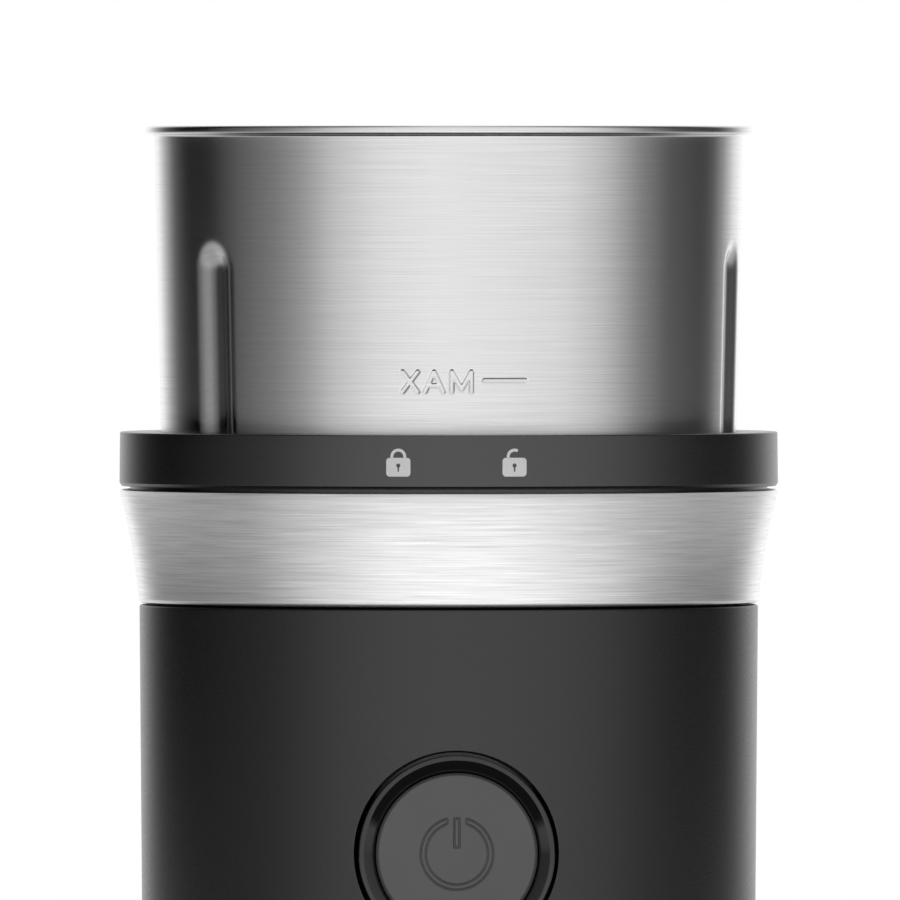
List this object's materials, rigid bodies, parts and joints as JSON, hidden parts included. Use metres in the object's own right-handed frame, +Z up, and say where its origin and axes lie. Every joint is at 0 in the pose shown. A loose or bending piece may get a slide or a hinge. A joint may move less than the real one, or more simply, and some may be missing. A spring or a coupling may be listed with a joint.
{
  "type": "electric coffee grinder",
  "caption": "Blade coffee and spice grinder, lid off: brushed steel twist-lock cup with pressed channels on a round black motor base with one front push button.",
  "frame": {"origin": "on the floor, on the vertical axis of the cup and motor", "axes": "+Z up, -Y out of the front through the push button, +X to the viewer's right"},
  "size_m": [0.098, 0.098, 0.1735],
  "materials": {
    "housing_black": "matt, fine texture",
    "collar_black": "satin",
    "mark_grey": "printed, matt",
    "brushed_band": "brushed around the axis",
    "cup_steel": "brushed around the axis",
    "bezel_black": "gloss",
    "button_grey": "satin",
    "sign_dark": "matt",
    "inner_plastic": "matt",
    "rubber": "matt",
    "zinc_steel": "zinc plated",
    "turned_steel": "turned",
    "blade_steel": "ground",
    "bronze": "sintered",
    "coupling_nylon": "satin",
    "cast_alloy": "die cast",
    "plate_steel": "stacked plates, varnished",
    "enamelled_copper": "varnished windings",
    "board_green": "solder mask",
    "capacitor_yellow": "gloss",
    "fuse_silver": "bright",
    "switch_black": "satin",
    "pin_cream": "satin",
    "brush_box": "moulded resin",
    "carbon": "matt",
    "fan_blue": "satin",
    "wire_insulation": "matt sleeve"
  },
  "bodies": {
    "base": {"body_shell": "housing_black", "top_ring": "collar_black", "lock_mark": "mark_grey", "unlock_mark": "mark_grey", "steel_band": "brushed_band", "well_deck": "inner_plastic", "deck_screws": "zinc_steel", "bottom_cover": "inner_plastic", "cover_screws": "zinc_steel", "rubber_feet": "rubber", "cord_inlet": "inner_plastic", "interlock_switch": "switch_black", "motor_frame": "cast_alloy", "motor_dampers": "rubber", "damper_screws": "zinc_steel", "lower_frame": "cast_alloy", "frame_bolts": "zinc_steel", "stator_core": "plate_steel", "field_coils": "enamelled_copper", "brush_holders": "brush_box", "carbon_brushes": "carbon", "upper_bearing": "turned_steel", "lower_bearing": "turned_steel", "button_bezel": "bezel_black", "button_guide": "inner_plastic", "button_spring": "zinc_steel", "power_switch": "switch_black", "circuit_board": "board_green", "suppression_capacitor": "capacitor_yellow", "thermal_fuse": "fuse_silver", "terminal_block": "pin_cream", "mains_wires": "wire_insulation", "switch_wires": "wire_insulation", "interlock_wires": "wire_insulation", "motor_wires": "wire_insulation"},
    "lock_ring": {"lock_ring": "inner_plastic"},
    "cup": {"cup_shell": "cup_steel", "cup_base": "inner_plastic", "cup_screws": "zinc_steel", "shaft_bush": "bronze", "shaft_seal": "rubber"},
    "blade_rotor": {"grinding_blade": "blade_steel", "blade_shaft": "turned_steel", "blade_nut": "turned_steel", "shaft_clip": "zinc_steel", "cup_coupling": "coupling_nylon"},
    "motor_rotor": {"motor_shaft": "turned_steel", "armature_core": "plate_steel", "armature_windings": "enamelled_copper", "commutator": "enamelled_copper", "cooling_fan": "fan_blue", "drive_coupling": "coupling_nylon"},
    "button": {"button_cap": "button_grey", "power_symbol": "sign_dark", "switch_plunger": "pin_cream"},
    "interlock": {"interlock_pin": "pin_cream", "interlock_plunger": "pin_cream"}
  },
  "joints": [
    {"name": "cup_turn", "type": "hinge", "parent": "base", "child": "lock_ring", "pos_m": [0, 0, 0.11], "axis": [0, 0, 1], "range_deg": [-20.4, 0]},
    {"name": "cup_lift", "type": "slide", "parent": "lock_ring", "child": "cup", "axis": [0, 0, 1], "range_m": [0, 0.08]},
    {"name": "motor_spin", "type": "hinge", "parent": "base", "child": "motor_rotor", "pos_m": [0, 0, 0.06], "axis": [0, 0, 1], "continuous": true},
    {"name": "blade_spin", "type": "hinge", "parent": "cup", "child": "blade_rotor", "pos_m": [0, 0, 0.11], "axis": [0, 0, 1], "continuous": true},
    {"name": "button_press", "type": "slide", "parent": "base", "child": "button", "axis": [0, 1, 0], "range_m": [0, 0.0015], "stiffness_N_per_m": 1500, "springref_m": -0.001, "deforming": ["button_spring"]},
    {"name": "interlock_press", "type": "slide", "parent": "base", "child": "interlock", "axis": [0, 0, -1], "range_m": [0, 0.00121]}
  ],
  "couplings": [
    {"joint": "blade_spin", "follows": "motor_spin", "ratio": 1},
    {"joint": "interlock_press", "follows": "cup_turn", "m_per_rad": -0.0033703}
  ]
}
